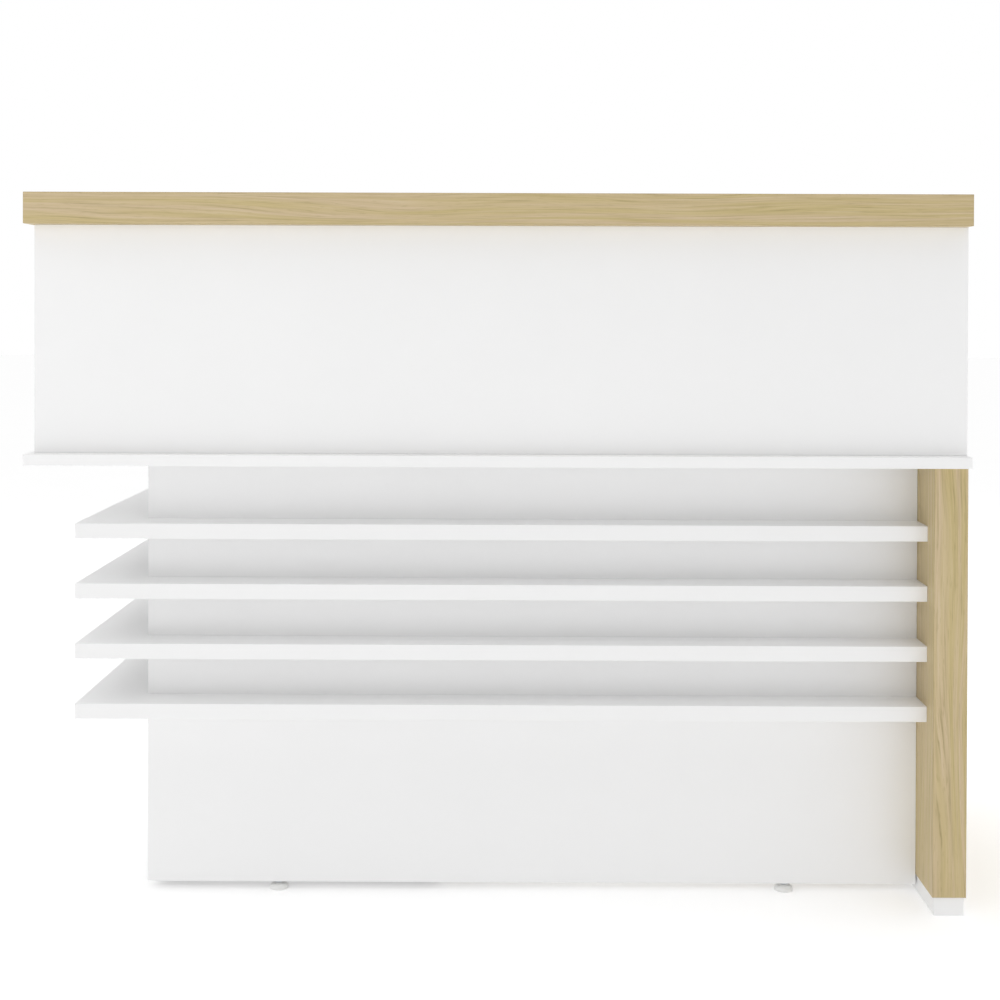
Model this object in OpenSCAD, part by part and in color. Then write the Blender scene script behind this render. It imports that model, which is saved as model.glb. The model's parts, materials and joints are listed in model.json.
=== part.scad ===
// Checkout counter with a raised customer top, wrap-around display shelves on the
// customer side, and a drawer-and-door cabinet on the operator side.
// Millimetres. X runs to the customer's right, -Y faces the customer, Z is up.
// The origin is on the floor, at the centre of the counter's footprint.

/* [Overall] */
// Width of the customer top and of the work surface
counter_w = 1500; // [1400:10:1600]
// Depth of the work surface, front to back
counter_d = 600; // [590:5:640]
// Height of the customer top above the floor
counter_h = 1150; // [1100:10:1200]
// Height of the work surface above the floor
desk_h = 735; // [730:5:745]

/* [Boards] */
// Thickness of the white carcass boards
board_t = 18; // [18:1:19]
// Thickness of a display shelf
shelf_t = 25; // [22:1:28]
// Thickness of the wood-look customer top
top_t = 50; // [46:2:56]
// Thickness of the wood-look end leg
leg_t = 54; // [50:2:60]
// Thickness of the edge band on the wood-look slabs
band_t = 1; // [0.5:0.5:2]

/* [Upper box] */
// Depth of the customer top
top_d = 350; // [320:10:400]
// Distance from the front of the customer top back to the fascia
fascia_setback = 29; // [20:1:40]
// Distance from the left end of the customer top in to the fascia
fascia_left_inset = 9; // [0:1:20]

/* [Lower carcass] */
// Distance from the front of the work surface back to the front panel
panel_setback = 125; // [120:1:130]
// Distance from the left end of the work surface in to the front panel
panel_left_inset = 168; // [160:1:175]
// Gap between the floor and the carcass boards, taken up by the levelling feet
floor_gap = 13; // [13:1:18]
// Distance from the front of the work surface back to the end leg
leg_setback = 22; // [15:1:30]
// Height of the plinth under the end leg
plinth_h = 30; // [24:1:40]

/* [Display shelves] */
// How far a shelf stands out in front of the front panel
shelf_reach_front = 65; // [60:1:80]
// How far a shelf stands out to the left of the side panel
shelf_reach_side = 103; // [90:1:110]
// Height of the first shelf's upper face above the floor
shelf_top_z = 618; // [610:1:620]
// Distance from one shelf to the next
shelf_pitch = 97.5; // [95:0.5:99]

/* [Hidden] */
$fn = 48;

white = "#ececec";
oak = "#c9b585";
steel = "#b9bcc0";
zinc = "#9fa3a8";
grey_plastic = "#d9d9d9";

eps = 0.01;     // makes a cut run past the face it starts from
slack = 0.1;    // clearance round a fixed fastener
running = 0.05; // radial clearance of a turning or sliding fit

// Main planes
x_max = counter_w / 2;
y_front = -counter_d / 2;
y_rear = counter_d / 2;
desk_under = desk_h - board_t;
top_under = counter_h - top_t;
top_rear = y_front + top_d;

fascia_y = y_front + fascia_setback;
fascia_back = fascia_y + board_t;
fascia_x = -x_max + fascia_left_inset;
upper_rear = top_rear - 10;
divider_x = (fascia_x + x_max) / 2;

panel_y = y_front + panel_setback;
panel_back = panel_y + board_t;
panel_x = -x_max + panel_left_inset;
leg_x = x_max - leg_t;
leg_y = y_front + leg_setback;
carcass_rear = y_rear - 10;

// Cabinet on the operator side
cabinet_rear = y_rear - 38;
bay_x0 = panel_x + board_t;
bay_w = 463;
bay_x1 = bay_x0 + bay_w;
bay_mid = (bay_x0 + bay_x1) / 2;
floor_z = 60;
front_gap = 2;
fronts_y = cabinet_rear - board_t;
drawer_z0 = desk_under - 142;
drawer_z1 = desk_under - 3;
door_z0 = floor_z + 2;
door_z1 = drawer_z0 - 5;
rail_y = [150, fronts_y - 2];
inner_shelf_z = 345;

// Drawer
slide_w = 12.7;
slide_z = desk_under - 81;
slide_y = [-140, 240];
box_t = 12;
box_x0 = bay_x0 + slide_w;
box_x1 = bay_x1 - slide_w;
box_y0 = -130;
box_z0 = slide_z - 44;
box_z1 = slide_z + 44;
bottom_t = 3;
bottom_z = box_z0 + 8;
groove = 6;

// Lock in the drawer front
lock_z = desk_under - 33;
lock_r = 7;
cam_reach = 24;
cam_y = [228, 230.5];

// Cabinet door hinge
hinge_gap = 3;
leaf_t = 1.3;
knuckle_r = 3.5;
hinge_pin_r = 1.5;
pin_x = bay_x0 + 4;
pin_y = cabinet_rear + 3.8;
hinge_z = [150, 460];
hinge_half = 30;
knuckle_half = 9.9;

// Levelling feet: position of each foot on the underside of a board
panel_mid_x = (panel_x + leg_x) / 2;
feet = [
    [panel_mid_x - 421, panel_y + board_t / 2],
    [panel_mid_x + 421, panel_y + board_t / 2],
    [panel_x + board_t / 2, 250],
    [bay_x1 + board_t / 2, 225]
];
stud_r = 4;
pad_r = 15.5;
pad_h = 10;
insert_h = 25;

// Cable outlet in the work surface
grommet_at = [400, -95];
grommet_hole_r = 30;
grommet_bore_r = 26;

// ---------- small building blocks ----------

// A box from one corner to the opposite one
module block(lo, hi) {
    translate(lo) cube(hi - lo);
}

// Puts its children at each [position, rotation] of a list
module at_each(places) {
    for (p = places) translate(p[0]) rotate(p[1]) children();
}

// A straight rod between two heights of the local Z axis
module rod(r, z0, z1) {
    translate([0, 0, z0]) cylinder(r = r, h = z1 - z0);
}

// ---------- where the fasteners sit ----------
// A cam joint's frame has its origin on the joint at mid board, X runs into the
// board that holds the cam, and Z leaves the face that the cam is set in.

cam_from_edge = 24;
cam_r = 7.5;
cam_depth = 12.5;
bolt_r = 3.5;
bolt_bite = 10;

side_cams = [for (z = [120, 365, 560]) [[panel_x + board_t / 2, panel_back, z], [90, 0, 90]]];
partition_cams = [for (z = [120, 365, 560]) [[bay_x1 + board_t / 2, panel_back, z], [-90, 0, 90]]];
leg_cams = [for (z = [110, 365, 640]) [[leg_x, panel_y + board_t / 2, z], [90, 0, 180]]];
floor_cams = [for (y = [-90, 180], s = [0, 1])
    [[s == 0 ? bay_x0 : bay_x1, y, floor_z + board_t / 2], s == 0 ? [180, 0, 0] : [0, 180, 0]]];
rail_cams = [for (s = [0, 1])
    [[s == 0 ? bay_x0 : bay_x1, 180, desk_under - board_t / 2], s == 0 ? [180, 0, 0] : [0, 180, 0]]];
upper_cam_z = [desk_h + 65, top_under - 60];
left_end_cams = [for (z = upper_cam_z) [[fascia_x + board_t / 2, fascia_back, z], [90, 0, 90]]];
right_end_cams = [for (z = upper_cam_z) [[x_max - board_t / 2, fascia_back, z], [-90, 0, 90]]];
divider_cams = [for (z = upper_cam_z) [[divider_x, fascia_back, z], [90, 0, 90]]];
all_cams = concat(side_cams, partition_cams, leg_cams, floor_cams, rail_cams,
                  left_end_cams, right_end_cams, divider_cams);

// An angle bracket's frame has its origin in the corner: one leg lies along X on
// the XY plane, the other stands along Z on the YZ plane.
desk_brackets = concat(
    [for (x = [-330, 120, 560]) [[x, panel_back, desk_under], [180, 0, 90]]],
    [for (y = [-60, 90]) [[bay_x0, y, desk_under], [180, 0, 0]]],
    [for (y = [-60, 200]) [[bay_x1 + board_t, y, desk_under], [180, 0, 0]]],
    [for (y = [-60, 200]) [[leg_x, y, desk_under], [0, 180, 0]]]
);
fascia_brackets = [for (x = [-480, 300, 560]) [[x, fascia_back, desk_h], [0, 0, 90]]];
top_brackets = concat(
    [for (x = [-480, -200, 300, 560]) [[x, fascia_back, top_under], [180, 0, 90]]],
    [[[fascia_x + board_t, -40, top_under], [180, 0, 0]]],
    [[[divider_x + board_t / 2, -40, top_under], [180, 0, 0]]],
    [[[x_max - board_t, -40, top_under], [0, 180, 0]]]
);
end_brackets = [
    [[fascia_x + board_t, -40, desk_h], [0, 0, 0]],
    [[divider_x + board_t / 2, -40, desk_h], [0, 0, 0]],
    [[x_max - board_t, -40, desk_h], [0, 0, 180]]
];
all_brackets = concat(desk_brackets, fascia_brackets, top_brackets, end_brackets);
bracket_leg = 30;
bracket_half_w = 11;
bracket_t = 2;
bracket_hole = 18;
wood_screw_r = 2;
wood_screw_bite = 12;

// Screws from inside the carcass into the display shelves
shelf_count = 4;
function shelf_z(i) = shelf_top_z - (i - 1) * shelf_pitch;
front_shelf_screws = [for (i = [1:shelf_count], x = [-470, -200, 100, 400, 640])
    [[x, panel_back, shelf_z(i) - shelf_t / 2], [-90, 0, 0]]];
side_shelf_screws = [for (i = [1:shelf_count], y = [-30, 130, 270])
    [[bay_x0, y, shelf_z(i) - shelf_t / 2], [0, 90, 0]]];
all_shelf_screws = concat(front_shelf_screws, side_shelf_screws);
shelf_screw_r = 2.5;
shelf_screw_l = 50;
shelf_screw_head_r = 5;
shelf_screw_head_h = 3;

shelf_pin_r = 2.5;
shelf_pin_in = 8;
shelf_pin_out = 9;
pins_left = [for (y = [-110, 190]) [[bay_x0, y, inner_shelf_z - shelf_pin_r], [0, 90, 0]]];
pins_right = [for (y = [-110, 190]) [[bay_x1, y, inner_shelf_z - shelf_pin_r], [0, -90, 0]]];

// ---------- the room each fastener needs in the boards ----------

module cam_cut() {
    translate([cam_from_edge, 0, 0])
        rod(cam_r + slack, board_t / 2 - cam_depth - slack, board_t / 2 + eps);
    rotate([0, 90, 0]) rod(bolt_r + slack, -bolt_bite - slack, cam_from_edge - cam_r);
}

module bracket_cut() {
    translate([bracket_hole, 0, 0]) rod(wood_screw_r + slack, -wood_screw_bite - slack, eps);
    translate([0, 0, bracket_hole]) rotate([0, 90, 0])
        rod(wood_screw_r + slack, -wood_screw_bite - slack, eps);
}

module shelf_screw_cut() {
    rod(shelf_screw_r + slack, -shelf_screw_l - slack, eps);
    rod(shelf_screw_head_r + slack, -shelf_screw_head_h - slack, eps);
}

module pin_cut() rod(shelf_pin_r + slack, -shelf_pin_in - slack, eps);

module foot_cut() {
    rod(6 + slack, -eps, insert_h + slack);
    rod(stud_r + 0.5, insert_h, insert_h + 24);
}

module feet_cuts(which) {
    for (i = which) translate([feet[i][0], feet[i][1], floor_gap]) foot_cut();
}

// ---------- wood-look slabs: two skins on a core frame, edge band outside ----------

top_skin_t = 16;
top_x = x_max - band_t;
top_y0 = y_front + band_t;
top_y1 = top_rear - band_t;

module top_upper_skin() {
    color(oak) block([-top_x, top_y0, counter_h - top_skin_t], [top_x, top_y1, counter_h]);
}

module top_lower_skin() {
    color(oak) difference() {
        block([-top_x, top_y0, top_under], [top_x, top_y1, top_under + top_skin_t]);
        at_each(top_brackets) bracket_cut();
    }
}

// A rectangular frame of rails with evenly spaced cross rails, lying flat
module core_frame(length, width, height, rail, bays) {
    difference() {
        cube([length, width, height]);
        pitch = (length - rail) / bays;
        for (i = [0:bays - 1])
            translate([i * pitch + rail, rail, -1]) cube([pitch - rail, width - 2 * rail, height + 2]);
    }
}

core_rail = 60;

module top_core_frame() {
    color("#b79a6b") translate([-top_x, top_y0, top_under + top_skin_t])
        core_frame(2 * top_x, top_y1 - top_y0, top_t - 2 * top_skin_t, core_rail, 4);
}

module top_edge_band() {
    color(oak) {
        for (s = [-1, 1])
            block([s > 0 ? top_x : -x_max, top_y0, top_under], [s > 0 ? x_max : -top_x, top_y1, counter_h]);
        block([-x_max, y_front, top_under], [x_max, top_y0, counter_h]);
        block([-x_max, top_y1, top_under], [x_max, top_rear, counter_h]);
    }
}

leg_skin_t = 18;
leg_y0 = leg_y + band_t;
leg_y1 = carcass_rear - band_t;

module leg_inner_board() {
    color(oak) difference() {
        block([leg_x, leg_y0, plinth_h], [leg_x + leg_skin_t, leg_y1, desk_under]);
        at_each(leg_cams) cam_cut();
        at_each(desk_brackets) bracket_cut();
    }
}

module leg_outer_board() {
    color(oak) block([x_max - leg_skin_t, leg_y0, plinth_h], [x_max, leg_y1, desk_under]);
}

module leg_core_frame() {
    color("#b79a6b") translate([x_max - leg_skin_t, leg_y0, plinth_h]) rotate([0, -90, 0])
        core_frame(desk_under - plinth_h, leg_y1 - leg_y0, leg_t - 2 * leg_skin_t, core_rail, 2);
}

module leg_edge_band() {
    color(oak) {
        block([leg_x, leg_y, plinth_h], [x_max, leg_y0, desk_under]);
        block([leg_x, leg_y1, plinth_h], [x_max, carcass_rear, desk_under]);
    }
}

module leg_plinth() {
    inset = 3;
    color(white) block([leg_x + inset, leg_y + inset, 0], [x_max - inset, carcass_rear - inset, plinth_h]);
}

// ---------- upper box ----------

module front_fascia() {
    color(white) difference() {
        block([fascia_x, fascia_y, desk_h], [x_max, fascia_back, top_under]);
        at_each(concat(left_end_cams, right_end_cams, divider_cams)) cam_cut();
        at_each(concat(fascia_brackets, top_brackets)) bracket_cut();
    }
}

// An upright of the upper box with its left face at x
module upper_upright(x, rear, cams) {
    color(white) difference() {
        block([x, fascia_back, desk_h], [x + board_t, rear, top_under]);
        at_each(cams) cam_cut();
        at_each(concat(top_brackets, end_brackets)) bracket_cut();
    }
}

module upper_end_left() upper_upright(fascia_x, upper_rear, left_end_cams);
module upper_end_right() upper_upright(x_max - board_t, upper_rear, right_end_cams);
module upper_divider() upper_upright(divider_x - board_t / 2, upper_rear - 20, divider_cams);

module work_surface() {
    color(white) difference() {
        block([-x_max, y_front, desk_under], [x_max, y_rear, desk_h]);
        translate([grommet_at[0], grommet_at[1], desk_under - 1]) cylinder(r = grommet_hole_r, h = board_t + 2);
        at_each(concat(desk_brackets, fascia_brackets, end_brackets)) bracket_cut();
    }
}

module cable_grommet() {
    tube_r = grommet_hole_r - slack;
    color("#e4e4e4") translate([grommet_at[0], grommet_at[1], desk_under - 2]) difference() {
        union() {
            cylinder(r = tube_r, h = board_t + 3);
            translate([0, 0, board_t + 2]) cylinder(r = grommet_hole_r + 6, h = 2);
        }
        translate([0, 0, -1]) cylinder(r = grommet_bore_r, h = board_t + 6);
    }
}

// ---------- lower carcass ----------

module front_panel() {
    color(white) difference() {
        block([panel_x, panel_y, floor_gap], [leg_x, panel_back, desk_under]);
        at_each(concat(side_cams, partition_cams, leg_cams)) cam_cut();
        at_each(desk_brackets) bracket_cut();
        at_each(front_shelf_screws) shelf_screw_cut();
        feet_cuts([0, 1]);
    }
}

module side_panel() {
    color(white) difference() {
        block([panel_x, panel_back, floor_gap], [bay_x0, carcass_rear, desk_under]);
        at_each(concat(side_cams, floor_cams, rail_cams)) cam_cut();
        at_each(desk_brackets) bracket_cut();
        at_each(side_shelf_screws) shelf_screw_cut();
        at_each(pins_left) pin_cut();
        feet_cuts([2]);
    }
}

module partition() {
    color(white) difference() {
        block([bay_x1, panel_back, floor_gap], [bay_x1 + board_t, cabinet_rear, desk_under]);
        at_each(concat(partition_cams, floor_cams, rail_cams)) cam_cut();
        at_each(desk_brackets) bracket_cut();
        at_each(pins_right) pin_cut();
        feet_cuts([3]);
    }
}

module cabinet_floor() {
    color(white) difference() {
        block([bay_x0, panel_back, floor_z], [bay_x1, fronts_y - 4, floor_z + board_t]);
        at_each(floor_cams) cam_cut();
    }
}

// Rail under the work surface, with a slot that takes the lock's cam
module cabinet_rail() {
    slot_half = 22;
    color(white) difference() {
        block([bay_x0, rail_y[0], desk_under - board_t], [bay_x1, rail_y[1], desk_under]);
        block([bay_mid - slot_half, cam_y[0] - 3, desk_under - board_t - 1],
              [bay_mid + slot_half, cam_y[1] + 2.5, desk_under - 5]);
        at_each(rail_cams) cam_cut();
    }
}

module inner_shelf() {
    color(white) block([bay_x0 + 1, panel_back + 7, inner_shelf_z],
                       [bay_x1 - 1, fronts_y - 19, inner_shelf_z + board_t]);
}

module shelf_pins() {
    color(steel) at_each(concat(pins_left, pins_right)) rod(shelf_pin_r, -shelf_pin_in, shelf_pin_out);
}

// An L-shaped shelf that wraps round the front and the left side of the carcass
module display_shelf(i) {
    x0 = panel_x - shelf_reach_side;
    y0 = panel_y - shelf_reach_front;
    color(white) difference() {
        translate([0, 0, shelf_z(i) - shelf_t]) linear_extrude(shelf_t)
            polygon([[x0, y0], [leg_x, y0], [leg_x, panel_y],
                     [panel_x, panel_y], [panel_x, carcass_rear], [x0, carcass_rear]]);
        at_each(all_shelf_screws) shelf_screw_cut();
    }
}

// ---------- fasteners ----------

module cam_locks() {
    color(zinc) at_each(all_cams) translate([cam_from_edge, 0, 0]) difference() {
        rod(cam_r, board_t / 2 - cam_depth, board_t / 2);
        // cross slot for the driver
        for (a = [0, 90]) rotate(a) block([-5, -0.8, board_t / 2 - 3], [5, 0.8, board_t / 2 + 1]);
    }
}

module cam_bolts() {
    color(steel) at_each(all_cams) rotate([0, 90, 0]) rod(bolt_r, -bolt_bite, cam_from_edge - cam_r - 0.3);
}

module angle_brackets() {
    color(zinc) at_each(all_brackets) difference() {
        union() {
            block([0, -bracket_half_w, 0], [bracket_leg, bracket_half_w, bracket_t]);
            block([0, -bracket_half_w, 0], [bracket_t, bracket_half_w, bracket_leg]);
        }
        translate([bracket_hole, 0, 0]) rod(wood_screw_r + slack, -1, bracket_t + 1);
        translate([0, 0, bracket_hole]) rotate([0, 90, 0]) rod(wood_screw_r + slack, -1, bracket_t + 1);
    }
}

// A pan-head wood screw whose head sits on a plate of thickness t, with a cross in it
module wood_screw(t) {
    head_r = 4;
    head_h = 2.2;
    rod(wood_screw_r, -wood_screw_bite, t);
    difference() {
        rod(head_r, t, t + head_h);
        for (a = [0, 90]) rotate(a) block([-2.2, -0.5, t + 1], [2.2, 0.5, t + head_h + 1]);
    }
}

module bracket_screws() {
    color(steel) at_each(all_brackets) {
        translate([bracket_hole, 0, 0]) wood_screw(bracket_t);
        translate([0, 0, bracket_hole]) rotate([0, 90, 0]) wood_screw(bracket_t);
    }
}

module shelf_screws() {
    color(steel) at_each(all_shelf_screws) {
        rod(shelf_screw_r, -shelf_screw_l, -eps);
        rod(shelf_screw_head_r, -shelf_screw_head_h, -eps);
    }
}

module screw_caps() {
    cap_r = 6.5;
    color(white) at_each(all_shelf_screws) rod(cap_r, 0, 1.2);
}

// ---------- levelling feet ----------

module foot_inserts() {
    color(steel) for (f = feet) translate([f[0], f[1], floor_gap]) difference() {
        union() {
            rod(6, 0, insert_h);
            rod(8, -1.5, 0);
        }
        rod(stud_r + running, -2, insert_h + 1);
    }
}

socket_z = 4;

// Domed plastic pad with a socket that the stud turns in
module foot_pad(i) {
    rim_h = 3;
    neck_r = 6.5;
    color(grey_plastic) translate([feet[i - 1][0], feet[i - 1][1], 0]) difference() {
        rotate_extrude() polygon(concat(
            [[0, 0], [pad_r - 0.8, 0], [pad_r, 0.8], [pad_r, rim_h]],
            [for (a = [15:15:90])
                [neck_r + (pad_r - neck_r) * cos(a), rim_h + (pad_h - rim_h) * sin(a)]],
            [[0, pad_h]]));
        rod(stud_r + running, socket_z, pad_h + 1);
    }
}

module foot_stud(i) {
    color(steel) translate([feet[i - 1][0], feet[i - 1][1], 0]) rod(stud_r, socket_z + running, 48);
}

// ---------- drawer slides: rail on the carcass, carriage, runner on the drawer ----------

// A channel lying along Y: its web is at x, and its flanges run to flange_x
module channel(x, flange_x, half_h, y0, y1) {
    t = 1.2;
    web = flange_x > x ? [x, x + t] : [x - t, x];
    flange = [min(x, flange_x), max(x, flange_x)];
    block([web[0], y0, -half_h], [web[1], y1, half_h]);
    for (s = [-1, 1])
        block([flange[0], y0, s > 0 ? half_h - t : -half_h], [flange[1], y1, s > 0 ? half_h : t - half_h]);
}

// Both slides of the drawer, the right one mirrored
module slide_pair() {
    translate([bay_x0, 0, slide_z]) children();
    translate([bay_x1, 0, slide_z]) mirror([1, 0, 0]) children();
}

module drawer_slide_rails() {
    color(zinc) slide_pair() channel(0, 9, 22, slide_y[0], slide_y[1]);
}

module drawer_slide_carriages() {
    color(steel) slide_pair() channel(3, 10, 17.5, slide_y[0] + 5, slide_y[1] - 5);
}

module drawer_slide_runners() {
    color(zinc) slide_pair() channel(slide_w, 6, 13, slide_y[0] + 10, fronts_y);
}

// ---------- drawer ----------

module drawer_front() {
    color(white) difference() {
        block([bay_x0 + front_gap, fronts_y, drawer_z0], [bay_x1 - front_gap, cabinet_rear, drawer_z1]);
        translate([bay_mid, 0, lock_z]) rotate([-90, 0, 0]) rod(9.5 + slack, fronts_y - 1, cabinet_rear + 1);
    }
}

module drawer_sides() {
    color("#e2e2e2") difference() {
        for (x = [box_x0, box_x1 - box_t]) block([x, box_y0, box_z0], [x + box_t, fronts_y, box_z1]);
        block([box_x0 + box_t - groove, box_y0 - 1, bottom_z - slack],
              [box_x1 - box_t + groove, fronts_y + 1, bottom_z + bottom_t + slack]);
    }
}

module drawer_back() {
    color("#e2e2e2") block([box_x0 + box_t, box_y0, bottom_z + bottom_t],
                           [box_x1 - box_t, box_y0 + box_t, box_z1]);
}

module drawer_bottom() {
    color("#e2e2e2") block([box_x0 + box_t - groove, box_y0, bottom_z],
                           [box_x1 - box_t + groove, fronts_y, bottom_z + bottom_t]);
}

// A bar pull along X, standing off a face at y = 0 on two posts
module bar_pull(length, pitch) {
    stand_off = 25;
    bar_r = 5;
    translate([0, stand_off, 0]) rotate([0, 90, 0]) cylinder(r = bar_r, h = length, center = true);
    for (s = [-1, 1]) translate([s * pitch / 2, 0, 0]) rotate([-90, 0, 0]) rod(4, 0, stand_off);
}

pull_length = 180;
pull_pitch = 128;

module drawer_handle() {
    color(steel) translate([bay_mid, cabinet_rear, drawer_z0 + 55]) bar_pull(pull_length, pull_pitch);
}

// ---------- lock ----------

// Places a lock part: its local Z is the lock's axis, along +Y, and its X is the counter's X
module on_lock_axis() {
    translate([bay_mid, 0, lock_z]) rotate([-90, 0, 0]) children();
}

module lock_housing() {
    color(steel) on_lock_axis() {
        difference() {
            union() {
                rod(9.5, cam_y[1] + 2, cabinet_rear);
                rod(12, cabinet_rear, cabinet_rear + 2);
            }
            rod(lock_r + running, cam_y[1], cabinet_rear + 3);
        }
        // fixing nut behind the drawer front
        difference() {
            translate([0, 0, fronts_y - 4]) cylinder(r = 14, h = 4, $fn = 6);
            rod(9.5 + slack, fronts_y - 5, fronts_y + 1);
        }
    }
}

key_half = [1.2, 3.8];
key_depth = 22;

module lock_plug() {
    color(zinc) on_lock_axis() difference() {
        union() {
            rod(lock_r, cam_y[1] + eps, cabinet_rear + 1);
            rod(3.5, cam_y[0] - 3, cam_y[1] + 1);
        }
        block([-key_half[0] - slack, -key_half[1] - slack, cabinet_rear - key_depth - slack],
              [key_half[0] + slack, key_half[1] + slack, cabinet_rear + 2]);
    }
}

module lock_cam() {
    color(steel) on_lock_axis() difference() {
        block([-cam_reach, -6, cam_y[0]], [8, 6, cam_y[1]]);
        rod(3.5 + slack, cam_y[0] - 1, cam_y[1] + 1);
    }
}

module key() {
    bow_r = 10;
    bow_z = cabinet_rear + 16;
    color(steel) on_lock_axis() difference() {
        union() {
            block([-key_half[0], -key_half[1], cabinet_rear - key_depth], [key_half[0], key_half[1], bow_z]);
            translate([0, 0, bow_z]) rotate([0, 90, 0]) rod(bow_r, -key_half[0], key_half[0]);
        }
        translate([0, 0, bow_z + 4]) rotate([0, 90, 0]) rod(3, -5, 5);
    }
}

// ---------- cabinet door ----------

door_x0 = bay_x0 + hinge_gap;
door_x1 = bay_x1 - front_gap;
door_pull_x = door_x1 - 40;

module cabinet_door() {
    color(white) block([door_x0, fronts_y, door_z0], [door_x1, cabinet_rear, door_z1]);
}

module door_handle() {
    color(steel) translate([door_pull_x, cabinet_rear, door_z1 - 130]) rotate([0, 90, 0])
        bar_pull(pull_length, pull_pitch);
}

// Runs its children at both hinges, in a frame centred on the pin
module at_hinges() {
    for (z = hinge_z) translate([pin_x, pin_y, z]) children();
}

// A knuckle round the pin between two heights
module knuckle(z0, z1) {
    difference() {
        rod(knuckle_r, z0, z1);
        rod(hinge_pin_r + running, z0 - 1, z1 + 1);
    }
}

module hinge_frame_leaves() {
    leaf_x = bay_x0 - pin_x;
    gap_z = knuckle_half + 0.3;
    color(zinc) at_hinges() {
        difference() {
            union() {
                block([leaf_x, fronts_y + 2 - pin_y, -hinge_half], [leaf_x + leaf_t, 0, hinge_half]);
                rod(knuckle_r, -hinge_half, -gap_z);
                rod(knuckle_r, gap_z, hinge_half);
            }
            rod(hinge_pin_r + running, -hinge_half - 1, hinge_half + 1);
            block([leaf_x - 1, -knuckle_r - 0.3, -gap_z], [leaf_x + leaf_t + 3, 1, gap_z]);
        }
    }
}

module hinge_door_leaves() {
    leaf_x = door_x0 - pin_x;
    color(zinc) at_hinges() {
        difference() {
            union() {
                block([leaf_x - leaf_t, fronts_y + 2 - pin_y, -hinge_half],
                      [leaf_x, -knuckle_r - 0.3, hinge_half]);
                block([leaf_x - leaf_t, -knuckle_r - 1, -knuckle_half], [leaf_x, 0, knuckle_half]);
                rod(knuckle_r, -knuckle_half, knuckle_half);
            }
            rod(hinge_pin_r + running, -hinge_half - 1, hinge_half + 1);
        }
    }
}

module hinge_pins() {
    pin_head_r = 2.4;
    color(steel) at_hinges() {
        rod(hinge_pin_r, -hinge_half - 1, hinge_half + 1);
        rod(pin_head_r, hinge_half + 0.3, hinge_half + 1.5);
        rod(pin_head_r, -hinge_half - 1.5, -hinge_half - 0.3);
    }
}

// Magnetic catch on the partition, and its plate on the door
catch_z = [490, 530];

module door_catch() {
    color(grey_plastic) block([bay_x1 - 13, fronts_y - 22, catch_z[0]], [bay_x1, fronts_y - 2, catch_z[1]]);
}

module door_strike() {
    color(steel) block([bay_x1 - 16, fronts_y - 1.5, catch_z[0] + 4], [bay_x1 - 4, fronts_y, catch_z[1] - 4]);
}

// ---------- output ----------

top_upper_skin();
top_core_frame();
top_lower_skin();
top_edge_band();
front_fascia();
upper_end_left();
upper_end_right();
upper_divider();
work_surface();
front_panel();
side_panel();
partition();
leg_inner_board();
leg_core_frame();
leg_outer_board();
leg_edge_band();
leg_plinth();
display_shelf(1);  // display_shelf_1
display_shelf(2);  // display_shelf_2
display_shelf(3);  // display_shelf_3
display_shelf(4);  // display_shelf_4
cabinet_floor();
cabinet_rail();
inner_shelf();
shelf_pins();
cable_grommet();
cam_locks();
cam_bolts();
angle_brackets();
bracket_screws();
shelf_screws();
screw_caps();
foot_inserts();
drawer_slide_rails();
hinge_frame_leaves();
door_catch();
drawer_slide_carriages();
drawer_front();
drawer_sides();
drawer_back();
drawer_bottom();
drawer_handle();
drawer_slide_runners();
lock_housing();
lock_plug();
lock_cam();
key();
cabinet_door();
door_handle();
door_strike();
hinge_door_leaves();
hinge_pins();
foot_pad(1);  // foot_pad_1
foot_pad(2);  // foot_pad_2
foot_pad(3);  // foot_pad_3
foot_pad(4);  // foot_pad_4
foot_stud(1);  // foot_stud_1
foot_stud(2);  // foot_stud_2
foot_stud(3);  // foot_stud_3
foot_stud(4);  // foot_stud_4
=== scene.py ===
# %% [markdown]
# # A checkout counter, drawn around its CAD model
# The counter's boards, fittings and joints come from a CAD model that is already packed.
# Blender doesn't move or resize any of it. What is made here is what the eye sees: the
# softened edges of each board, the printed wood grain, the white melamine, the metal
# finishes, and the small pieces that the CAD model keeps plain, such as threads and keys.

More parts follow.
